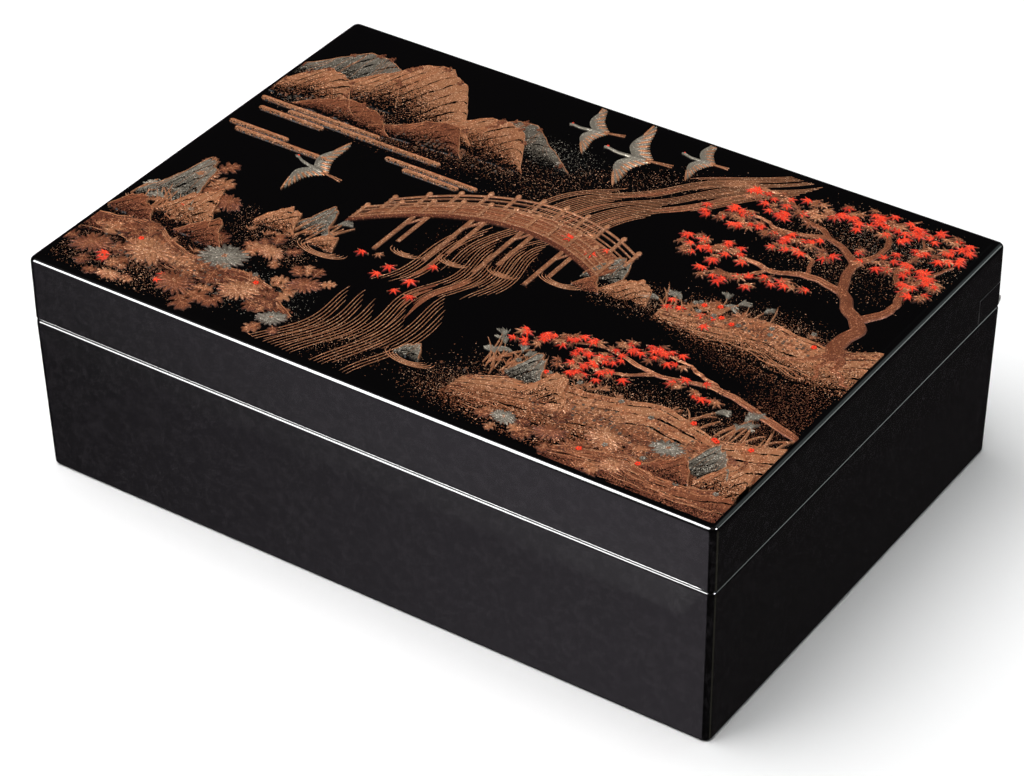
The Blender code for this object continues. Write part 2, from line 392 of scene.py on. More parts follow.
def makeJoin(values):
    # half an ellipse across, carried up the left side, round the rear and down the right side
    low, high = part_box("hinge_rail")
    corner, gap = values["corner"], values["gap"]
    front, top = low.y - gap / 2, high.z + gap / 2
    turns = np.linspace(np.pi, 0, values["cornerSteps"])
    out = np.stack([np.cos(turns), np.sin(turns), 0 * turns], -1)
    level = out * corner + (0, high.y - corner, top)
    level[:, 0] += np.where(turns > np.pi / 2, low.x + corner, high.x - corner)
    starts = np.array([(low.x, front, low.z + values["rimGap"]), (low.x, front, top)])
    path = np.concatenate([starts, level, starts[::-1] * (-1, 1, 1)])
    out = np.concatenate([out[[0, 0]], out, out[[-1, -1]]])
    side = np.cross(np.gradient(path, axis=0), out)
    side /= np.linalg.norm(side, axis=1, keepdims=True)
    section = [(math.cos(turn), values["proud"] * math.sin(turn))
               for turn in np.linspace(0, np.pi, values["roundSteps"])]
    section = [(1, -gap)] + section + [(-1, -gap)]
    points = np.stack([path + side * across * gap / 2 + out * up for across, up in section], 1)
    quads, caps = loopFaces(*points.shape[:2])
    mesh = bpy.data.meshes.new("rail_join")
    faces = quads.tolist() + [cap.tolist() for cap in caps]
    mesh.from_pydata(points.reshape(-1, 3).tolist(), [], faces)
    bm = bmesh.new()
    bm.from_mesh(mesh)
    bmesh.ops.recalc_face_normals(bm, faces=bm.faces)
    bm.to_mesh(mesh)
    bm.free()
    addPiece("rail_join", mesh, joinLacquer, "lid")


for name, values in dressed.items():
    smoothCopy(name, *values)
makeJoin(join)
print("box, lid and hinge done")


# The picture on the lid is worked out in millimetres: x to the right, y to the rear and z up from
# the lid's top. Every shape is a stack of closed loops with a cap at each end.
pictureEdge = {"x": 112.9, "y": 77.7, "sunk": -0.03}
dice = np.random.default_rng(1868)


# A mesh on the lid, from the picture's millimetres, with the values that its finish reads
def pictureMesh(name, points, faces, measures):
    mesh = bpy.data.meshes.new(name)
    mesh.from_pydata((points * mm + (0, 0, lidTop)).tolist(), [], faces)
    for measure, values in measures.items():
        mesh.attributes.new(measure, "FLOAT", "POINT").data.foreach_set("value", values)
    return mesh


class Relief:
    def __init__(self, name, material, slotName):
        self.name, self.material, self.slotName = name, material, slotName
        self.points, self.quads, self.caps, self.measures = [], [], [], []
        self.count = 0

    # stack is (shapes, loops, points, 3), and its loops run anticlockwise seen from the last one;
    # tone, core and cover are values for the finish, from 0 to 1, that spread over the stack, and
    # a black line is left in the powder wherever veins passes a whole number
    def add(self, stack, tone, core, cover=1.0, veins=0.5):
        shapes, loops, across = stack.shape[:3]
        own = dice.uniform(0, 0.03, (shapes, 1, 1))     # so that no two tops share a plane
        stack[..., 2] += np.where(stack[..., 2] > 0, own, 0)
        quads, caps = loopFaces(loops, across)
        starts = self.count + np.arange(shapes)[:, None] * loops * across
        self.quads.append((quads[None] + starts[:, :, None]).reshape(-1, 4))
        for cap in caps:
            self.caps += (cap[None] + starts).tolist()
        self.points.append(stack.reshape(-1, 3))
        measured = [np.broadcast_to(value, stack.shape[:3]).reshape(-1)
                    for value in (tone, core, cover, veins)]
        self.measures.append(np.stack(measured, -1))
        self.count += shapes * loops * across

    def build(self):
        points = np.concatenate(self.points)
        for axis, edge in enumerate("xy"):
            points[:, axis] = np.clip(points[:, axis], -pictureEdge[edge], pictureEdge[edge])
        faces = np.concatenate(self.quads).tolist() + self.caps
        measures = zip(("tone", "core", "cover", "veins"), np.concatenate(self.measures).T)
        mesh = pictureMesh(self.name, points, faces, dict(measures))
        mesh.shade_smooth()
        mesh.set_sharp_from_angle(angle=math.radians(smoothing["reliefSharpOver"]))
        addPiece(self.name, mesh, self.material, "lid")
        print(self.name, sum(len(face) - 2 for face in faces), "triangles")


# Points along a smooth curve through a few chosen ones: a cubic through each pair, whose slope
# at a point is half the step between its neighbours
def curve(chosen, count):
    chosen = np.asarray(chosen, float)
    padded = np.concatenate([2 * chosen[:1] - chosen[1:2], chosen,
                             2 * chosen[-1:] - chosen[-2:-1]])
    where = np.linspace(0, len(chosen) - 1, count)
    step = np.minimum(where.astype(int), len(chosen) - 2)
    part = (where - step)[:, None]
    before, start, end, after = (padded[step + shift] for shift in range(4))
    return 0.5 * (2 * start + (end - before) * part
                  + (2 * before - 5 * start + 4 * end - after) * part ** 2
                  + (3 * start - before - 3 * end + after) * part ** 3)


# A sum of sine waves, each finer and fainter than the last
def wavering(where, scale, octaves):
    total = np.zeros_like(where)
    for octave in range(octaves):
        total += np.sin(where * scale * 2.1 ** octave + dice.uniform(0, 6.3)) * 0.55 ** octave
    return total


# Unit vectors toward the given angles
def toward(angles):
    return np.stack([np.cos(angles), np.sin(angles)], -1)


def ellipse(count, wide=1.0, tall=1.0):
    return toward(np.linspace(0, 2 * np.pi, count + 1)[:-1]) * (wide, tall)


def turned(points, degrees):
    turn = math.radians(degrees)
    return points @ np.array([[math.cos(turn), math.sin(turn)], [-math.sin(turn), math.cos(turn)]])


# Unit vectors to the left of paths (..., points, 2)
def leftOf(paths):
    along = np.gradient(paths, axis=-2)
    along /= np.linalg.norm(along, axis=-1, keepdims=True) + 1e-9
    return np.stack([-along[..., 1], along[..., 0]], -1)


# The points at these shares of the way along a line (points, 2)
def pointsOn(line, shares):
    numbers = np.linspace(0, 1, len(line))
    return np.stack([np.interp(shares, numbers, line[:, axis]) for axis in (0, 1)], -1)


# The flat shape (points, 2), turned, sized and set at each centre: (shapes, points, 2)
def spread(shape, centres, turns, sizes):
    turns, sizes = (np.broadcast_to(value, len(centres))[:, None] for value in (turns, sizes))
    x, y = shape[None, :, 0], shape[None, :, 1]
    cosines, sines = np.cos(turns), np.sin(turns)
    laid = np.stack([x * cosines - y * sines, x * sines + y * cosines], -1)
    return laid * sizes[..., None] + centres[:, None, :]


# Sections of lines, from the left foot to the right one: shares of the half width and the height
lineSection = ((1, 0), (0.6, 0.85), (0, 1), (-0.6, 0.85), (-1, 0))
fineSection = ((1, 0), (0, 1), (-1, 0))
barSection = ((1, 0), (1, 0.7), (0.8, 1), (-0.8, 1), (-1, 0.7), (-1, 0))
veinedSection = ((1, 0), (0.8, 0.7), (0.35, 1), (0, 0.7), (-0.35, 1), (-0.8, 0.7), (-1, 0))


# A section carried along paths (shapes, points, 2): half its width across, its height up
def strips(piece, paths, half, height, section=lineSection, base=0.0, tone=0.5, cover=1.0):
    rim = 0.3 if section in (lineSection, fineSection) else 0.0
    paths = np.asarray(paths, float)
    if paths.ndim == 2:
        paths = paths[None]
    leftward = leftOf(paths)
    half, height, base, tone, cover = (np.broadcast_to(value, paths.shape[:2])
                                       for value in (half, height, base, tone, cover))
    rows = []
    for across, up in section:
        level = base + height * up if up > 0 else np.full(paths.shape[:2], pictureEdge["sunk"])
        flat = paths + leftward * half[..., None] * across
        rows.append(np.concatenate([flat, level[..., None]], -1))
    core = np.array([1 - (1 - rim) * abs(across) for across, up in section])
    piece.add(np.stack(rows, 2), tone[..., None], core, cover[..., None])


# Half widths along a line that swells from a point and thins to a point again
def tapered(count, half, start=0.25, end=0.1):
    along = np.linspace(0, 1, count)
    return half * (np.minimum(1, start + along * 6) * np.minimum(1, end + (1 - along) * 3))


disc = ellipse(7)
# Rings of domes, from the foot inwards: shares of the outline's size and of the height
domeRings = ((1, 0), (1, 0.45), (0.9, 0.8), (0.62, 0.97), (0.25, 1))
flatRings = ((1, 0), (1, 0.6), (0.93, 1), (0.4, 1))
dotRings = ((1, 0), (0.85, 0.8), (0.4, 1))
leafRings = ((1, 0), (1, 0.25), (0.75, 0.95), (0.3, 0.7))


# Outlines (shapes, points, 2), anticlockwise, drawn in ring by ring to a middle and raised
def domes(piece, outlines, height, rings=domeRings, middle=None, base=0.0, tone=0.5):
    if middle is None:
        middle = outlines.mean(1, keepdims=True)
    height, base, tone = (np.broadcast_to(value, outlines.shape[:1])[:, None]
                          for value in (height, base, tone))
    rows = []
    for scale, up in rings:
        flat = middle + (outlines - middle) * scale
        level = np.broadcast_to(base + height * up if up else pictureEdge["sunk"],
                                outlines.shape[:2])
        rows.append(np.concatenate([flat, level[..., None]], -1))
    core = np.array([1 - scale for scale, up in rings])[None, :, None]
    piece.add(np.stack(rows, 1), tone[..., None], core)


def dots(piece, spots, radii, height, rings=dotRings, **rest):
    domes(piece, spread(disc, spots, 0, radii), height, rings, **rest)


slopeFall = 1.3        # the power of the way down by which a slope's height falls
brush = {"half": 0.11, "lift": 0.1, "spreadOut": 0.5, "tone": 0.8}


# A slope from a ridge line to a foot line in front of it, both (points, 2) from left to right.
# Its powder thins towards the foot, and its tone goes from the first number to the second. The two
# numbers in veins say how many black lines cross it from left to right and down the way.
def slope(piece, ridge, foot, height, fade, tone, rows=12, base=0.0, veins=(0.0, 0.0)):
    down = np.linspace(0, 1, rows)
    flat = ridge[:, None] + (foot - ridge)[:, None] * down[None, :, None]
    level = np.broadcast_to(base + height * (1 - down ** slopeFall), flat.shape[:2])
    top = np.concatenate([flat, level[..., None]], -1)
    sunk = np.full((len(ridge), 1), pictureEdge["sunk"])
    under, last = (np.concatenate([line, sunk], -1)[:, None] for line in (ridge, foot))
    down = np.concatenate([[0], down, [1]])
    gone = np.clip((down - 0.25) / 0.75, 0, 1)
    share = np.linspace(0, 1, len(ridge))[:, None]
    piece.add(np.concatenate([under, top, last], 1)[None], tone[0] + (tone[1] - tone[0]) * down,
              0.2 + down, 1 - fade * gone * gone * (3 - 2 * gone),
              0.5 + veins[0] * share + veins[1] * down ** 0.8)


# Brush lines that run down a slope, given by where they start along the ridge and how far down
# they reach: each keeps its share of the way and spreads from the slope's middle
def brushLines(piece, ridge, foot, height, starts, reach, base):
    steps = np.linspace(0, 1, 14)
    share = starts[:, None] + (starts[:, None] - 0.5) * brush["spreadOut"] * steps ** 1.5
    share = share + 0.006 * np.sin(steps * 9 + starts[:, None] * 40)
    share = np.clip(share, 0, 1)
    down = reach[:, None] * steps + 0.02
    high, low = pointsOn(ridge, share), pointsOn(foot, share)
    flat = high + (low - high) * down[..., None]
    level = base + height * (1 - np.clip(down, 0, 1) ** slopeFall)
    strips(piece, flat, tapered(14, brush["half"]), brush["lift"], fineSection, base=level,
           tone=brush["tone"], cover=1 - 0.7 * down ** 2)


# Powdered lacquers: each cell of the grain is one flake, with its own chance to be there, its own
# shade and its own tilt; tone picks between two shades and core darkens a shape's rim
metalGloss = {"metallic": 0.55, "rough": (0.36, 0.62), "ior": 1.5, "depth": 0.00006}
lacquerGloss = {"metallic": 0.0, "rough": (0.36, 0.55), "ior": 1.3, "depth": 0.000018}
powders = {
    "goldPowder": {"light": tint(0.38, 0.16, 0.071), "deep": tint(0.21, 0.064, 0.022),
                   "rim": tint(0.075, 0.017, 0.006), "glint": tint(0.74, 0.425, 0.26),
                   "slot": "raised_gold", "gloss": metalGloss},
    "copperPowder": {"light": tint(0.205, 0.059, 0.021), "deep": tint(0.1, 0.02, 0.006),
                     "rim": tint(0.028, 0.005, 0.002), "glint": tint(0.42, 0.17, 0.08),
                     "slot": "red_gold", "gloss": metalGloss},
    "silverPowder": {"light": tint(0.185, 0.163, 0.128), "deep": tint(0.066, 0.053, 0.038),
                     "rim": tint(0.042, 0.016, 0.01), "glint": tint(0.45, 0.41, 0.34),
                     "slot": "silver_grey", "gloss": metalGloss},
    "vermilionLacquer": {"light": tint(0.90, 0.042, 0.010), "deep": tint(0.66, 0.018, 0.004),
                         "rim": tint(0.17, 0.006, 0.002), "glint": tint(0.94, 0.095, 0.03),
                         "slot": "vermilion", "gloss": lacquerGloss},
}
powderGrain = {"scale": 3600.0, "glintFrom": 0.9, "flakeTone": 0.45, "wornScale": 150.0,
               "wornTone": 0.7, "rimWorn": 0.35, "rimDark": 0.75, "veinHalf": 0.07,
               "veinSway": 0.5, "brokenScale": 260.0, "brokenShare": 0.35}


def makePowder(name, values, grain):
    finish = Finish(name)
    apart, chance, shade, tilt = finish.cells(grain["scale"])
    wearAndSheen = finish.noise(grain["wornScale"], 4.0, 0.65)
    tone = (finish.measure("tone") + (wearAndSheen - 0.5) * grain["wornTone"]
            + (shade - 0.5) * grain["flakeTone"]).between(0.1, 0.9)
    colour = finish.mix(tone, values["deep"], values["light"])
    colour = finish.mix(shade > grain["glintFrom"], colour, values["glint"])
    rim = 1.0 - (finish.measure("core") + (wearAndSheen - 0.5) * grain["rimWorn"]).between(0.0, 0.3)
    colour = finish.mix(rim * grain["rimDark"], colour, values["rim"])
    # black lines thick and thin, broken here and there
    passed = finish.measure("veins") + (wearAndSheen - 0.5) * grain["veinSway"]
    fromLine = passed.maths("FRACT", passed) - 0.5
    broken = finish.noise(grain["brokenScale"], 2.0)
    clear = fromLine.maths("ABSOLUTE", fromLine) < (
        0.5 - grain["veinHalf"] + (broken - 0.45) * grain["brokenShare"])
    there = (chance < finish.measure("cover") * 1.02) * clear
    gloss = values["gloss"]
    low, high = gloss["rough"]
    return finish.surface(
        Base_Color=finish.mix(there, lacquer["black"], colour), IOR=gloss["ior"],
        Metallic=there * gloss["metallic"], Normal=finish.bump(tilt * there, gloss["depth"]),
        Roughness=lacquer["roughHigh"] + there * (low + (high - low) * tilt - lacquer["roughHigh"]))


powdered = {name: makePowder(name, values, powderGrain) for name, values in powders.items()}
unbuilt = []          # the pieces of the stage in hand, in the order in which they were begun


def relief(name, powder):
    unbuilt.append(Relief(name, powdered[powder], powders[powder]["slot"]))
    return unbuilt[-1]


def buildPicture(stage):
    while unbuilt:
        unbuilt.pop(0).build()
    print(stage, "done")


# Where loose powder lies on the black: middle, half sizes, turn in degrees, how thick, and of
# which metal. The sheet is a thin skin over the lid's flat top.
sheet = {"step": 1.25, "lift": 0.02, "glintFrom": 0.6, "rougher": 0.3,
         "grains": ((4200.0, 1.0), (2500.0, 0.35))}        # scale, and share of the powder
powderSpots = {
    "gold": [(-74, 36, 40, 9, 2, 0.36), (-36, 36, 22, 8, -6, 0.25), (-90, -66, 30, 10, 0, 0.34),
             (-62, -34, 17, 7, -20, 0.3), (66, -52, 44, 15, 6, 0.4), (88, 0, 30, 12, -6, 0.5),
             (2, 42, 30, 9, 38, 0.18), (-18, -66, 16, 9, 0, 0.16), (84, 52, 26, 20, 0, 0.2),
             (42, -2, 16, 7, 10, 0.28), (24, -66, 14, 8, 0, 0.3)],
    "copper": [(60, -62, 40, 11, 5, 0.34), (104, -28, 12, 16, 0, 0.4), (86, -10, 24, 8, 0, 0.35),
               (-88, -50, 24, 14, 0, 0.26), (-60, 27, 26, 5, 0, 0.2), (-6, -8, 17, 12, 0, 0.12)],
    "silver": [(-98, 36, 14, 7, 0, 0.25), (-18, 48, 14, 8, 0, 0.2), (-48, -58, 15, 9, 0, 0.15),
               (92, 60, 18, 10, 0, 0.12)],
}


def thickness(x, y, spots):
    # each spot is level in its middle and dies away with the fourth power of the distance
    total = np.zeros_like(x)
    for middleX, middleY, halfX, halfY, turn, amount in spots:
        angle = math.radians(turn)
        right, rear = x - middleX, y - middleY
        along = (right * math.cos(angle) + rear * math.sin(angle)) / halfX
        across = (rear * math.cos(angle) - right * math.sin(angle)) / halfY
        total += amount * np.exp(-(along ** 2 + across ** 2) ** 2)
    return total


def makeSheet():
    countX = int(2 * pictureEdge["x"] / sheet["step"])
    countY = int(2 * pictureEdge["y"] / sheet["step"])
    x, y = np.meshgrid(np.linspace(-pictureEdge["x"], pictureEdge["x"], countX),
                       np.linspace(-pictureEdge["y"], pictureEdge["y"], countY))
    z = np.full_like(x, pictureEdge["sunk"])
    z[1:-1, 1:-1] = sheet["lift"]
    points = np.stack([x, y, z], -1).reshape(-1, 3)
    here = np.arange(countX * countY).reshape(countY, countX)
    faces = np.stack([here[:-1, :-1], here[:-1, 1:], here[1:, 1:], here[1:, :-1]], -1)
    faces = faces.reshape(-1, 4).tolist()
    border = np.concatenate([here[0, :-1], here[:-1, -1], here[-1, :0:-1], here[:0:-1, 0]])
    sunk = points[border] * (1, 1, 2)
    below = np.arange(len(points), len(points) + len(border))
    faces += np.stack([below, np.roll(below, -1), np.roll(border, -1), border], -1).tolist()
    faces.append(below[::-1].tolist())
    points = np.concatenate([points, sunk])
    measures = {metal: thickness(points[:, 0], points[:, 1], spots)
                for metal, spots in powderSpots.items()}
    mesh = pictureMesh("sprinkled_powder", points, faces, measures)
    addPiece("sprinkled_powder", mesh, makeSprinkle(), "lid")


def makeSprinkle():
    # flakes on black: a round spot in a cell of the grain shows where the cell's own number is
    # below the powder's thickness there
    finish = Finish("sprinkledPowder")
    colour = lacquer["black"]
    shown = 0.0
    for scale, share in sheet["grains"]:
        apart, chance, shade, size = finish.cells(scale)
        spot = apart < 0.28 + size * 0.22
        gold, copper, silver = (finish.measure(metal) * share for metal in powderSpots)
        isGold = (chance < gold) * spot
        isCopper = (chance > 1.0 - copper) * spot
        isSilver = (chance > 0.5) * (chance < silver + 0.5) * spot
        for there, powder in ((isSilver, "silverPowder"), (isCopper, "copperPowder"),
                              (isGold, "goldPowder")):
            flake = finish.mix(shade, powders[powder]["deep"], powders[powder]["light"])
            flake = finish.mix(shade > sheet["glintFrom"], flake, powders[powder]["glint"])
            colour = finish.mix(there, colour, flake)
            shown = there.atLeast(shown)
    return finish.surface(Base_Color=colour, Metallic=shown * metalGloss["metallic"],
                          Roughness=lacquer["roughHigh"] + shown * sheet["rougher"], IOR=1.5)


makeSheet()
print("loose powder done")


# Mountains and rocks: middle x, foot y, width, height, how jagged, tone; those behind come first
mountains = {
    "silverPowder": [(-97, 44, 46, 24, 0.10, 0.5), (-30, 42, 40, 17, 0.10, 0.4)],
    "goldPowder": [(-72, 39, 58, 33, 0.12, 0.75), (-44, 35, 44, 22, 0.12, 0.6),
                   (-99, 33, 34, 20, 0.14, 0.65)],
    "copperPowder": [(-58, 31, 34, 14, 0.16, 0.6), (-84, 29, 36, 12, 0.16, 0.7)],
}
rocks = {
    "silverPowder": [(-101, -34, 19, 23, 0.3, 0.7), (-55, -24, 12, 12, 0.3, 0.6),
                     (29, 0, 13, 14, 0.3, 0.6), (36, -52, 12, 12, 0.3, 0.7),
                     (100, -62, 15, 13, 0.3, 0.6), (4, -60, 8, 6, 0.3, 0.6)],
    "goldPowder": [(-90, -40, 20, 17, 0.3, 0.8), (-65, -29, 14, 12, 0.3, 0.7),
                   (38, -4, 16, 11, 0.3, 0.8), (46, -57, 15, 12, 0.3, 0.8),
                   (108, -66, 16, 14, 0.3, 0.7), (-48, -30, 9, 7, 0.3, 0.7)],
    "copperPowder": [(-80, -46, 17, 10, 0.3, 0.7), (27, -6, 9, 6, 0.3, 0.7),
                     (92, -68, 15, 9, 0.3, 0.7), (-105, -46, 16, 10, 0.3, 0.6)],
}
# How high they stand, how their powder fades, brush lines per width, and black lines across and down
heapLooks = {"mountains": {"height": 0.14, "fade": 0.95, "brushed": 0.4, "veins": (0.26, 3.0)},
             "rocks": {"height": 0.4, "fade": 0.45, "brushed": 0.6, "veins": (0.3, 2.4)}}


def crag(piece, lines, heap, look, base):
    # ridge: a leaning hump, its share of the height a power of a sine, roughened by waves
    middle, footY, wide, tall, jagged, tone = heap
    height, count = look["height"], int(wide * look["brushed"])
    share = np.linspace(0, 1, 60)
    lean = dice.uniform(-0.12, 0.12)
    hump = np.sin(np.pi * np.clip(share + lean * np.sin(np.pi * share), 0, 1)) ** 1.15
    rough = wavering(share, 9, 5) * jagged * hump ** 0.5
    ridge = np.stack([middle + (share - 0.5) * wide,
                      footY + tall * (hump * 0.97 + rough * 0.45)], -1)
    foot = np.stack([middle + (share - 0.5) * wide * 1.03,
                     footY - 0.6 + 0.05 * tall * wavering(share, 7, 3)], -1)
    foot[:, 1] = np.minimum(foot[:, 1], ridge[:, 1] - 0.2)
    slope(piece, ridge, foot, height, fade=look["fade"], base=base, tone=(tone + 0.15, tone - 0.4),
          veins=(look["veins"][0] * wide, look["veins"][1]))
    starts = np.clip(0.5 + dice.normal(0, 0.2, count), 0.03, 0.97)
    brushLines(lines, ridge, foot, height, starts, dice.uniform(0.3, 0.95, count), base=base)
    strips(lines, ridge - (0, 0.15), 0.15, 0.14, base=base + height, tone=0.95)
    return ridge


def growPines(trees, ridge, level):
    # along a ridge, each a small stack of round tufts that widens downwards
    rows = np.repeat(np.arange(4), (4, 3, 2, 1))
    for place in dice.integers(6, 54, 7):
        foot = ridge[place] - (0, dice.uniform(0.4, 2.4))
        tall = dice.uniform(1.6, 2.8)
        x = foot[0] + (dice.uniform(-0.5, 0.5, 10)) * (4 - rows) * 0.62
        spots = np.stack([x, foot[1] + rows * tall / 4], -1)
        dots(trees, spots, dice.uniform(0.3, 0.5, 10), 0.14, base=level,
             tone=dice.uniform(0.2, 0.9, 10))


def makeHighGround():
    lines = relief("rock_and_mountain_lines", "goldPowder")
    trees = relief("mountain_pines", "copperPowder")
    for name, table in (("mountains", mountains), ("rocks", rocks)):
        look = heapLooks[name]
        pieces = {powder: relief(name + "_" + powders[powder]["slot"], powder) for powder in table}
        heaps = [(heap, powder) for powder, ofOne in table.items() for heap in ofOne]
        heaps.sort(key=lambda entry: -entry[0][1])
        for rank, (heap, powder) in enumerate(heaps):
            ridge = crag(pieces[powder], lines, heap, look, 0.04 * rank)
            if table is mountains:
                growPines(trees, ridge, 0.04 * rank + look["height"])


makeHighGround()
buildPicture("mountains and rocks")

# The stream: its middle line, its width at the rear and the front, and its currents, each a few
# lines side by side that sway together; how far out a line is drawn, and with how many points
# left; and the rings round what stands in it
stream = {
    "middle": [(58, 79), (34, 58), (13, 36), (-2, 10), (-8, -18), (-12, -46), (-20, -80)],
    "width": (9, 36), "currents": 7, "runs": 4, "spacing": 1.15, "half": 0.12, "lift": 0.14,
    "washes": 12, "washLift": 0.09, "sway": 2.1, "bends": 30.0, "inside": (111, 76.5),
    "fewest": 12,
}
ripples = {"rings": 4, "apart": 1.15, "squash": 0.45, "lift": 0.19,
           "spots": [(-26, -18.5, 1.6), (-12, -15, 1.6), (3, -12, 1.6), (5, -60, 4.5), (-47, -30, 5),
                     (19, -6, 4)]}        # middle x and y, first ring's radius


def drawInside(piece, path, half, lift, tone):
    run = path[(np.abs(path) < stream["inside"]).all(axis=1)]
    if len(run) > stream["fewest"]:
        strips(piece, run, tapered(len(run), half), lift, tone=tone)


def makeStream(values):
    lines = relief("stream_waves", "goldPowder")
    washes = relief("stream_washes", "copperPowder")
    middle = curve(values["middle"], 240)
    across = leftOf(middle)
    share = np.linspace(0, 1, len(middle))
    wide = values["width"][0] + (values["width"][1] - values["width"][0]) * share ** 0.8
    steps = np.linspace(0, 1, 60)

    # the path at shares of the way down the stream, at its place across it, swaying as it goes
    def inStream(where, place, aside=0.0):
        sway = (values["sway"] * (0.35 + 0.65 * where) * np.sin(where * values["bends"] + 2.4 * place)
                * (1 + 0.3 * np.sin(where * 11 + 5 * place)))
        offset = place * np.interp(where, share, wide) + aside + sway
        where = np.clip(where, 0, 1)
        return pointsOn(middle, where) + pointsOn(across, where) * offset[:, None]

    for current in range(values["currents"]):
        place = (current + 0.5) / values["currents"] - 0.5
        for run in range(values["runs"]):
            start = (run + dice.uniform(-0.15, 0.4)) / values["runs"]
            length = dice.uniform(0.17, 0.3)
            for line in range(dice.integers(3, 6)):
                where = start + length * (0.05 * line + steps * (1 - 0.11 * line))
                aside = (line - 1.5) * values["spacing"] * (0.5 + 0.6 * where)
                drawInside(lines, inStream(where, place, aside), values["half"], values["lift"],
                           dice.uniform(0.5, 0.95))
    for wash in range(values["washes"]):
        where = dice.uniform(0.05, 0.8) + dice.uniform(0.06, 0.16) * steps
        path = inStream(where, dice.uniform(-0.38, 0.38))
        drawInside(washes, path, dice.uniform(0.4, 1.0), values["washLift"], dice.uniform(0.4, 1))
    for spotX, spotY, first in ripples["spots"]:
        # half rings round what stands in the water, wider and flatter one by one
        for ring in range(ripples["rings"]):
            turn = np.linspace(3.3 - 0.12 * ring, 6.1 + 0.12 * ring, 30)
            path = toward(turn) * (1, ripples["squash"]) * (first + ripples["apart"] * ring)
            drawInside(lines, path + (spotX, spotY), values["half"], ripples["lift"], 0.9)


makeStream(stream)
buildPicture("stream")

# The bridge: a bow between two banks, seen a little from above
bridge = {
    "start": (-50, -13), "end": (27, 1), "rise": 15.5, "deep": (4.2, 8.0), "posts": 11,
    "postTall": 6.6, "rails": (1.4, 3.8, 6.0), "planks": 64, "piers": (0.2, 0.4, 0.6, 0.8),
    "water": -25.0,
}


def makeBridge(values):
    start, end, deep = (np.array(values[key], float) for key in ("start", "end", "deep"))

    def bow(share):               # a straight line plus a parabola
        share = np.asarray(share, float)[..., None]
        return start + (end - start) * share + (0, 4 * values["rise"]) * share * (1 - share)

    share = np.linspace(0, 1, 50)
    deck = relief("bridge_deck", "copperPowder")
    slope(deck, bow(share) + deep, bow(share), 0.04, rows=4, base=0.2, fade=0.0, tone=(0.5, 0.8))
    slope(deck, bow(share), bow(share) - (0, 2.2), 0.02, rows=3, base=0.34, fade=0.0,
          tone=(0.2, 0.1))
    work = relief("bridge_timbers", "goldPowder")
    for place in values["piers"]:
        for shift, lift in ((0.85, 0.12), (0.0, 0.3)):
            top = bow(place) + deep * shift - (0, 2.0)
            foot = np.array([top[0], values["water"] + 14 * place + deep[1] * shift])
            strips(work, curve([top, (top + foot) / 2, foot], 6), 0.75, lift, barSection, tone=0.55)
        left = bow(place) - (0, 7.0)
        strips(work, curve([left, left + deep * 0.85], 4), 0.45, 0.28, barSection, tone=0.45)
    along = np.linspace(0.01, 0.99, values["planks"])
    planks = bow(along)[:, None] + deep * np.linspace(0.02, 0.98, 5)[None, :, None]
    strips(work, planks, 0.11, 0.1, base=0.22, tone=0.9)
    for shift, lift in ((1.0, 0.3), (0.0, 0.5)):
        near = bow(share) + deep * shift
        for rail in values["rails"]:
            half = 0.42 if rail == values["rails"][-1] else 0.26
            strips(work, near + (0, rail), half, lift, barSection, tone=0.8)
        strips(work, near - (0, 0.2), 0.4, lift, barSection, tone=0.7)
        for place in np.linspace(0.01, 0.99, values["posts"]):
            root = bow(place) + deep * shift
            tall = values["postTall"]
            strips(work, curve([root - (0, 0.6), root + (0, tall / 2), root + (0, tall)], 6), 0.62,
                   lift + 0.1, barSection, tone=0.85)
            knob = ellipse(12, 0.9, 1.15) + root + (0, tall + 0.8)
            domes(work, knob[None], lift + 0.2, tone=0.95)


makeBridge(bridge)
buildPicture("bridge")


# Leaves and petals, each an outline of unit length along x
def mapleOutline():
    # seven pointed lobes round the stem, each a tip between two shoulders and a notch
    lobes = ((-2.5, 0.42), (-1.72, 0.74), (-0.86, 0.95), (0.0, 1.05), (0.86, 0.95), (1.72, 0.74),
             (2.5, 0.42))
    angles, radii = [], []
    for angle, tip in lobes:
        angles += [angle - 0.17, angle, angle + 0.17, angle + 0.42]
        radii += [tip * 0.62, tip, tip * 0.62, 0.3]
    return toward(np.array(angles)) * np.array(radii)[:, None]


def petalOutline(wide, count=12):
    # across as a sine of the way round, blunt at the outer end
    turns = np.linspace(0, 2 * np.pi, count + 1)[:-1]
    along = 0.5 - 0.5 * np.cos(turns)
    return np.stack([along, -wide * np.sin(turns) * (0.55 + 0.45 * along)], -1)[::-1]


def lobedOutline():
    # half widths along a leaf with two lobes a side that point forward, and a toothed tip
    side = np.array([(0, 0.03), (0.12, 0.08), (0.2, 0.3), (0.33, 0.36), (0.32, 0.2), (0.4, 0.16),
                     (0.5, 0.4), (0.64, 0.44), (0.63, 0.27), (0.68, 0.16), (0.78, 0.27),
                     (0.87, 0.26), (0.88, 0.13), (1.0, 0.0)])
    return np.concatenate([side * (1, -1), side[::-1][1:-1]])


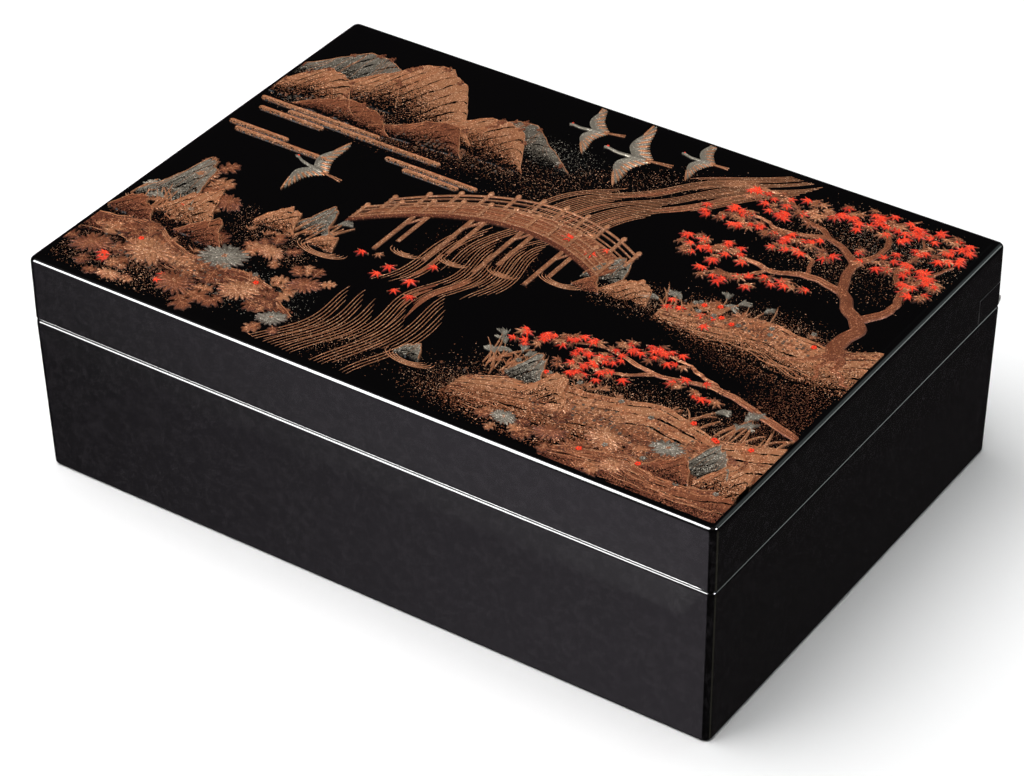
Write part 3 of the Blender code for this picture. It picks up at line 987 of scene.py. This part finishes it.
# The maple: trunk and branches as chosen points with half widths, and clouds of leaves with
# middle, half sizes and count
maple = {
    "wood": [([(104, 4), (106, -2), (112, -7)], 1.7, 0.34),
             ([(101, 5), (96, -2), (88, -5)], 1.6, 0.34),
             ([(102, 5), (101, -3), (103, -9)], 1.4, 0.34),
             ([(103, 2), (100.5, 10), (99, 20), (90, 31), (84, 44), (72, 54), (60, 60)], 3.2, 0.5),
             ([(98, 20), (104, 32), (103, 46), (109, 60)], 2.0, 0.4),
             ([(90, 31), (76, 34), (66, 30), (52, 33), (42, 30)], 1.6, 0.3),
             ([(84, 44), (88, 56), (84, 68), (90, 76)], 1.4, 0.3),
             ([(72, 54), (60, 50), (48, 52), (38, 48)], 1.1, 0.25),
             ([(104, 40), (96, 50), (98, 62), (92, 70)], 1.1, 0.25),
             ([(66, 31), (60, 24), (50, 20)], 0.8, 0.2), ([(60, 60), (50, 66), (40, 66)], 0.8, 0.2),
             ([(76, 34), (72, 42), (62, 42)], 0.8, 0.2)],
    "clouds": [(54, 62, 15, 7, 46), (80, 68, 14, 7, 40), (102, 66, 10, 8, 34), (42, 49, 12, 5, 30),
               (66, 46, 12, 6, 30), (46, 31, 12, 6, 36), (92, 52, 12, 6, 28), (56, 20, 9, 4, 16),
               (106, 46, 7, 6, 20), (70, 26, 10, 4, 14)],
    "size": (2.2, 3.3),
}
lowMaple = {
    "wood": [([(113, -36), (98, -30), (84, -27), (66, -30), (50, -27), (38, -30)], 1.5, 0.3),
             ([(84, -27), (72, -22), (60, -20)], 0.9, 0.2),
             ([(66, -30), (56, -36), (44, -37)], 0.8, 0.2)],
    "clouds": [(42, -30, 13, 5, 44), (62, -22, 12, 4, 26), (50, -39, 11, 4, 24),
               (80, -30, 9, 4, 16), (26, -34, 7, 4, 10)],
    "size": (2.0, 3.0),
}
mapleShares = (0.56, 0.27, 0.17)       # vermilion, gold, copper
leafLimit = (109, 74)                  # no leaf's middle lies past it, to the right or the rear
fallen = [(-24, -30, 18, 14, 9), (60, 2, 14, 8, 10), (-84, -66, 14, 5, 6), (10, 14, 12, 8, 6)]


def makeMaple():
    wood = relief("maple_wood", "copperPowder")
    bark = relief("maple_bark_lines", "goldPowder")
    colours = (relief("maple_leaves_red", "vermilionLacquer"),
               relief("maple_leaves_gold", "goldPowder"),
               relief("maple_leaves_copper", "copperPowder"))
    veins = relief("maple_leaf_veins", "goldPowder")
    share = np.linspace(0, 1, 70)
    for tree in (maple, lowMaple):
        for chosen, half, height in tree["wood"]:
            path = curve(chosen, 70)
            path = path + 0.25 * half * wavering(share, 14, 3)[:, None]
            thin = half * (1 - 0.8 * share) * np.minimum(1, 0.55 + 9 * share)
            tall = height * (1 - 0.5 * share)
            strips(wood, path, thin, tall, veinedSection, tone=0.6)
            for line in np.linspace(-0.7, 0.7, 5):
                shift = thin * line + 0.15 * wavering(share, 20, 3)
                strips(bark, path + leftOf(path) * shift[:, None], tapered(70, 0.13), 0.1,
                       fineSection, tall * 0.8, tone=0.7)
        placeLeaves(colours, veins, tree["clouds"], tree["size"])
    placeLeaves(colours, veins, fallen, maple["size"])


def placeLeaves(colours, veins, clouds, sizes):
    shape = mapleOutline()
    for middleX, middleY, halfX, halfY, count in clouds:
        radius = np.sqrt(dice.uniform(0, 1, count))[:, None]
        out = toward(dice.uniform(0, 2 * np.pi, count)) * (halfX, halfY)
        centres = np.minimum((middleX, middleY) + radius * out, leafLimit)
        turns = dice.normal(-1.5, 0.9, count)
        size = dice.uniform(*sizes, count)
        outlines = spread(shape, centres, turns, size)
        kind = dice.choice(3, count, p=mapleShares)
        level = dice.uniform(0.02, 0.16, count)
        for piece, which in zip(colours, (kind == number for number in range(3))):
            if which.any():
                domes(piece, outlines[which], 0.26, leafRings, centres[which][:, None],
                      level[which], dice.uniform(0.1, 1.0, which.sum()))
        for angle in (-1.72, -0.86, 0.0, 0.86, 1.72):
            line = np.linspace(0.02, 0.8, 5)[:, None] * toward(angle)
            strips(veins, spread(line, centres, turns, size), 0.055, 0.05, fineSection,
                   (level + 0.22)[:, None], tone=0.9)


makeMaple()
buildPicture("maple")

# Chrysanthemums: middle, radius, how much they are flattened, turn in degrees, powder
flowers = [
    (-88, -58, 8.6, 0.8, -20, "goldPowder"), (-68, -49, 7.8, 0.85, 15, "silverPowder"),
    (-104, -64, 6.8, 0.8, 30, "copperPowder"), (-72, -67, 7.4, 0.75, -10, "copperPowder"),
    (-54, -60, 6.8, 0.8, 25, "goldPowder"), (-100, -18, 6.2, 0.75, 40, "goldPowder"),
    (-84, -26, 5.6, 0.7, -30, "copperPowder"), (-40, -48, 5.6, 0.75, 20, "copperPowder"),
    (-58, -40, 5.0, 0.7, -15, "goldPowder"), (-38, -66, 5.0, 0.7, 30, "silverPowder"),
    (-90, -74, 4.4, 0.6, 0, "goldPowder"),
    (70, -62, 6.8, 0.75, -25, "goldPowder"), (86, -57, 5.6, 0.7, 10, "silverPowder"),
    (56, -68, 5.4, 0.7, 15, "copperPowder"), (101, -54, 5.6, 0.75, -15, "copperPowder"),
    (52, -57, 4.6, 0.7, 30, "goldPowder"), (42, -69, 4.4, 0.7, -10, "silverPowder"),
    (78, -71, 4.8, 0.7, 20, "goldPowder"),
]
petalRows = ((19, 1.0, 0.105, 0.04), (15, 0.8, 0.11, 0.12), (11, 0.58, 0.115, 0.2),
             (7, 0.36, 0.12, 0.27))      # petals, length, half width, level


def makeFlowers():
    pieces = {powder: relief("chrysanthemums_" + powders[powder]["slot"], powder)
              for powder in ("goldPowder", "silverPowder", "copperPowder")}
    leaves = relief("chrysanthemum_leaves", "copperPowder")
    paleLeaves = relief("chrysanthemum_leaves_gold", "goldPowder")
    veins = relief("chrysanthemum_leaf_veins", "goldPowder")
    for middleX, middleY, radius, squash, degrees, powder in flowers:
        centre = np.array([middleX, middleY], float)
        placeStemLeaves(leaves, paleLeaves, veins, centre, radius)
        for row, (count, length, wide, level) in enumerate(petalRows):
            count = count + dice.integers(-1, 2) * (row < 3)
            turns = np.linspace(0, 2 * np.pi, count + 1)[:-1] + dice.normal(0, 0.05, count) + row
            sizes = length * radius * dice.uniform(0.88, 1.06, count)
            flat = spread(petalOutline(wide / length * 1.15), np.zeros((count, 2)), turns, sizes)
            middle = flat.mean(1, keepdims=True) * 1.1
            flat, middle = (turned(part * (1, squash), degrees) + centre + (0, 0.12 * row)
                            for part in (flat, middle))
            domes(pieces[powder], flat, 0.3, domeRings, middle, level,
                  np.clip(dice.uniform(0.25, 0.75, count) + 0.12 * row, 0, 1))
        heart = dice.normal(0, radius * 0.055, (9, 2)) + centre
        dots(pieces["goldPowder"], heart, radius * 0.06, 0.16, domeRings, base=0.42, tone=0.3)


def placeStemLeaves(leaves, paleLeaves, veins, centre, radius):
    count = dice.integers(4, 7)
    turns = dice.uniform(0, 2 * np.pi, count)
    roots = centre + 0.75 * radius * toward(turns)
    sizes = dice.uniform(0.7, 1.15, count) * radius * 1.15
    outlines = spread(lobedOutline(), roots, turns, sizes)
    middle = outlines.mean(1, keepdims=True)
    pale = dice.uniform(0, 1, count) < 0.4
    for piece, which in ((leaves, ~pale), (paleLeaves, pale)):
        if which.any():
            domes(piece, outlines[which], 0.16, flatRings, middle[which],
                  dice.uniform(0.02, 0.12, which.sum()),
                  dice.uniform(0.3, 0.9, which.sum()))
    for bend, start, reach in ((0, 0.0, 0.92), (0.75, 0.25, 0.28), (-0.75, 0.25, 0.28),
                               (0.65, 0.5, 0.26), (-0.65, 0.5, 0.26)):
        line = (start, 0) + reach * np.linspace(0, 1, 6)[:, None] * toward(bend)
        strips(veins, spread(line, roots, turns, sizes), tapered(6, 0.1), 0.08, base=0.24, tone=0.9)


makeFlowers()
buildPicture("chrysanthemums")

# The near bank and the maple's bank: ridge and foot as chosen points
banks = {
    "near": {"ridge": [(22, -60), (38, -50), (56, -47), (76, -42), (96, -46), (113, -40)],
             "foot": [(20, -72), (42, -76), (60, -77), (80, -77), (98, -77), (113, -77)],
             "powder": "goldPowder", "height": 0.2, "fade": 0.85, "tone": (0.95, -0.5),
             "moss": 46, "strata": 7.0},
    "front": {"ridge": [(60, -72), (78, -66), (96, -69), (113, -62)],
              "foot": [(58, -77.5), (78, -77.5), (96, -77.5), (113, -77.5)],
              "powder": "copperPowder", "height": 0.26, "fade": 0.3, "tone": (0.9, 0.3),
              "moss": 16, "strata": 4.0},
    "maple": {"ridge": [(50, -2), (64, 2), (80, 8), (98, 6), (113, 12)],
              "foot": [(50, -9), (66, -12), (82, -12), (98, -16), (113, -15)],
              "powder": "goldPowder", "height": 0.22, "fade": 0.9, "tone": (0.9, 0.2),
              "moss": 40, "strata": 5.0},
    "flower": {"ridge": [(-113, -50), (-96, -46), (-76, -53), (-54, -52), (-34, -62)],
               "foot": [(-113, -62), (-96, -60), (-76, -66), (-54, -64), (-34, -67)],
               "powder": "copperPowder", "height": 0.1, "fade": 0.92, "tone": (0.45, -0.2),
               "moss": 16, "strata": 5.0},
}
# Grasses: root range in x, root y, lean, count, length
grasses = [(20, 44, -52, -0.35, 18, 15), (70, 112, -47, 0.3, 22, 12), (58, 84, 3, 0.2, 12, 9),
           (-112, -92, -40, -0.3, 14, 16), (-62, -46, -30, 0.35, 12, 13), (46, 60, -2, -0.4, 9, 10)]
# Low plants along the banks: from x, to x, the bank's height there, count
tufts = [(24, 110, -49, 46), (54, 96, 3, 34), (-110, -40, -55, 26), (62, 112, -70, 22),
         (-112, -60, -38, 14)]
# Cut squares of foil: middle, half sizes, count
foils = [(64, -56, 34, 5, 300), (92, -62, 20, 6, 160), (80, 2, 26, 4, 200), (-82, -60, 26, 6, 190),
         (-88, 34, 20, 3, 90), (-52, 33, 18, 3, 80)]


def contours(lines, ridge, foot, height, levels):
    # broken lines that follow the ridge part of the way down, closer together near it
    for level in levels:
        start = dice.uniform(0.0, 0.75)
        where = np.linspace(start, min(start + dice.uniform(0.12, 0.35), 1.0), 40)
        high, low = pointsOn(ridge, where), pointsOn(foot, where)
        down = level + 0.02 * np.sin(where * 40 + level * 30)
        path = high + (low - high) * down[:, None]
        strips(lines, path, tapered(40, 0.12), 0.09, base=height * (1 - down ** slopeFall), tone=1.0)


def makeBanks():
    pieces = {powder: relief("banks_" + powders[powder]["slot"], powder)
              for powder in ("goldPowder", "copperPowder")}
    lines = relief("bank_lines", "goldPowder")
    moss = relief("moss_dots", "copperPowder")
    for values in banks.values():
        ridge, foot = curve(values["ridge"], 90), curve(values["foot"], 90)
        ridge[:, 1] += 0.35 * wavering(np.linspace(0, 1, 90), 22, 3)
        slope(pieces[values["powder"]], ridge, foot, values["height"], fade=values["fade"],
              tone=values["tone"], veins=(1.5, values["strata"]))
        strips(lines, ridge - (0, 0.15), 0.2, 0.12, base=values["height"], tone=0.95)
        contours(lines, ridge, foot, values["height"], np.linspace(0.07, 0.8, 34) ** 1.2)
        count = values["moss"]
        share, down = dice.uniform(0.02, 0.98, count), dice.uniform(0.03, 0.55, count) ** 1.5
        spots = pointsOn(ridge, share) * (1 - down[:, None]) + pointsOn(foot, share) * down[:, None]
        spots = np.repeat(spots, 8, 0) + dice.normal(0, 0.65, (count * 8, 2)) * (1.5, 0.7)
        dots(moss, spots, dice.uniform(0.2, 0.42, len(spots)), 0.13, base=values["height"] * 0.9,
             tone=dice.uniform(0.1, 0.9, len(spots)))


def makeTufts():
    # five short blades fan out from each root, and a third of them carry a small flower
    blades = relief("low_plants", "goldPowder")
    pale = relief("small_flowers_silver", "silverPowder")
    red = relief("small_flowers_red", "vermilionLacquer")
    for low, high, level, count in tufts:
        roots = np.stack([dice.uniform(low, high, count), level + dice.normal(0, 2.6, count)], -1)
        for fan in np.linspace(-0.9, 0.9, 5):
            long = dice.uniform(1.6, 3.4, count)
            tips = roots + long[:, None] * toward(1.57 + fan + dice.normal(0, 0.15, count))
            bend = (roots + tips) / 2 + (-0.35 * fan, 0.3)
            paths = np.stack([roots, (roots + bend) / 2 + (0, 0.1), bend,
                              (bend + tips) / 2 + (0, 0.1), tips], 1)
            strips(blades, paths, tapered(5, 0.2, 0.5, 0.1), 0.14, fineSection, 0.3,
                   tone=dice.uniform(0.5, 1, count)[:, None])
        for piece, share in ((pale, 0.22), (red, 0.14)):
            heads = roots[dice.uniform(0, 1, count) < share] + (0.3, 2.2)
            for petal in ellipse(5, 0.55, 0.55):
                dots(piece, heads + petal, 0.42, 0.16, base=0.34, tone=0.7)


def makeFoils():
    # squares in short rows, thinner towards a patch's rim
    gold = relief("cut_foil_gold", "goldPowder")
    silver = relief("cut_foil_silver", "silverPowder")
    square = np.array([(1, 1), (-1, 1), (-1, -1), (1, -1)]) * 0.5
    for middleX, middleY, halfX, halfY, count in foils:
        centres = (middleX, middleY) + dice.normal(0, 0.5, (2, count)).T * (halfX, halfY)
        centres = np.round(centres / (1.5, 1.1)) * (1.5, 1.1) + dice.normal(0, 0.09, (count, 2))
        turns = dice.normal(0.2, 0.16, count)
        sizes = dice.uniform(0.45, 0.85, count)
        shiny = dice.uniform(0, 1, count) < 0.75
        for piece, which in ((gold, shiny), (silver, ~shiny)):
            domes(piece, spread(square, centres[which], turns[which], sizes[which]), 0.05,
                  ((1, 0), (0.96, 1)), base=0.26, tone=dice.uniform(0.7, 1, which.sum()))


def makeGrasses():
    blades = relief("grass_blades", "goldPowder")
    plumes = relief("grass_plumes", "silverPowder")
    steps = np.linspace(0, 1, 14)[None, :]
    for low, high, rootY, lean, count, length in grasses:
        root = np.stack([dice.uniform(low, high, count), rootY + dice.normal(0, 1.6, count)], -1)
        long = length * dice.uniform(0.6, 1.1, count)[:, None]
        tilt = (lean + dice.normal(0, 0.35, count))[:, None]
        bend = tilt * (0.3 + 1.3 * steps)
        x = root[:, [0]] + np.cumsum(np.sin(bend), 1) * long / 14
        y = root[:, [1]] + np.cumsum(np.cos(bend), 1) * long / 14
        paths = np.stack([x, y], -1)
        strips(blades, paths, tapered(14, 0.24, 0.6, 0.05), 0.16, base=0.22,
               tone=dice.uniform(0.5, 1, count)[:, None])
        for which in range(0, count, 3):
            tip, before = paths[which, -1], paths[which, -3]
            heading = math.atan2(*(tip - before)[::-1])
            for fan in np.linspace(-0.45, 0.45, 8):
                angle = heading + fan
                reach = dice.uniform(2.8, 5.2)
                end = tip + reach * (toward(angle) - (0, 0.45))
                start = tip - (tip - before) * abs(fan) * 1.5
                strips(plumes, curve([start, (start + end) / 2 + (0, 0.5), end], 7),
                       tapered(7, 0.15, 0.5, 0.1), 0.16, base=0.24, tone=dice.uniform(0.6, 1))


makeBanks()
makeTufts()
makeFoils()
makeGrasses()
buildPicture("banks and grasses")

# Cranes in flight: middle, size, heading in degrees
cranes = [(2, 60, 1.15, 8), (-16, 66, 0.9, 14), (-74, 3, 1.0, -8), (20, 69, 0.8, 4)]


def makeCranes():
    body = relief("cranes", "silverPowder")
    dark = relief("crane_wing_tips", "goldPowder")
    crowns = relief("crane_crowns", "vermilionLacquer")
    steps = np.linspace(0, 1, 9)[:, None]
    for middleX, middleY, size, degrees in cranes:

        def put(path):
            return turned(np.asarray(path, float) * size, degrees) + (middleX, middleY)

        for tilt in (1.0, -0.8):          # the far wing, then the near one
            arm = curve([(-0.6, 0.4), (-3.2, 5.0), (-2.4, 10.5)], 15) * (1, tilt)
            for number, root in enumerate(arm):
                share = number / 14
                angle = (0.12 + 1.35 * share ** 1.5) * tilt
                feather = (5.2 - 1.2 * math.sin(3.1 * share) + 1.6 * share) * toward(angle) * steps
                strips(dark if number % 2 == 0 else body, put(root + feather),
                       tapered(9, 0.46 * size, 0.5, 0.3), 0.14, base=0.06 + 0.012 * number, tone=0.9)
                strips(body, put(root + feather * 0.42), tapered(9, 0.42 * size, 0.6, 0.5), 0.12,
                       base=0.22, tone=0.95)
            strips(body, put(arm), tapered(15, 0.55 * size, 0.5, 0.3), 0.2, base=0.24, tone=1.0)
        neck = curve([(-9.5, 1.2), (-8.4, 1.4), (-5.5, 0.4), (-2.5, 0.1), (0, 0), (3, -0.1)], 30)
        half = np.interp(np.linspace(0, 1, 30), (0, 0.1, 0.18, 0.6, 0.85, 1),
                         (0.08, 0.5, 0.36, 0.45, 1.35, 0.5))
        strips(body, put(neck), size * half, 0.34, base=0.12, tone=1.0)
        for shift in (-0.25, 0.25):
            strips(dark, put(curve([(2.6, shift * 0.5), (6.5, shift), (10.5, shift * 2)], 8)), 0.14,
                   0.14, base=0.1, tone=0.6)
        crown = put(ellipse(10, 0.42, 0.3) + (-8.55, 1.75))
        domes(crowns, crown[None], 0.12, base=0.36, tone=0.9)


makeCranes()
buildPicture("cranes")

# Bands of mist: for each one the left end and height of its first streak, and then each streak's
# shift to the right and its length; the streaks lie one below the other
mists = [(-112, 27, ((0, 44), (12, 56), (3, 24))), (-60, 19, ((0, 33), (8, 20))),
         (-112, 11, ((0, 22), (4, 34)))]
streak = {"half": 0.85, "pitch": 2.6, "height": 0.05, "base": 0.3, "fade": 0.55, "edge": 0.08}


def makeMists():
    # a streak's half height is level along it and falls as a quarter circle at both ends
    powder = relief("mist_powder", "goldPowder")
    edges = relief("mist_edges", "goldPowder")
    turn = np.concatenate([np.linspace(0, np.pi / 2, 9), np.linspace(np.pi / 2, np.pi, 9)])
    for left, topY, streaks in mists:
        for number, (shift, length) in enumerate(streaks):
            half = streak["half"]
            x = left + shift + half - half * np.cos(turn)
            x[9:] += length - 2 * half
            tall = half * np.sin(turn)
            middleY = topY - number * streak["pitch"]
            upper, lower = (np.stack([x, middleY + side * np.maximum(tall, 0.02)], -1)
                            for side in (1, -1))
            slope(powder, upper, lower, streak["height"], rows=7, base=streak["base"],
                  fade=streak["fade"], tone=(0.95, 0.7))
            strips(edges, upper[2:-2], streak["edge"], 0.06, fineSection,
                   streak["base"] + streak["height"], tone=1.0)


makeMists()
buildPicture("mist")
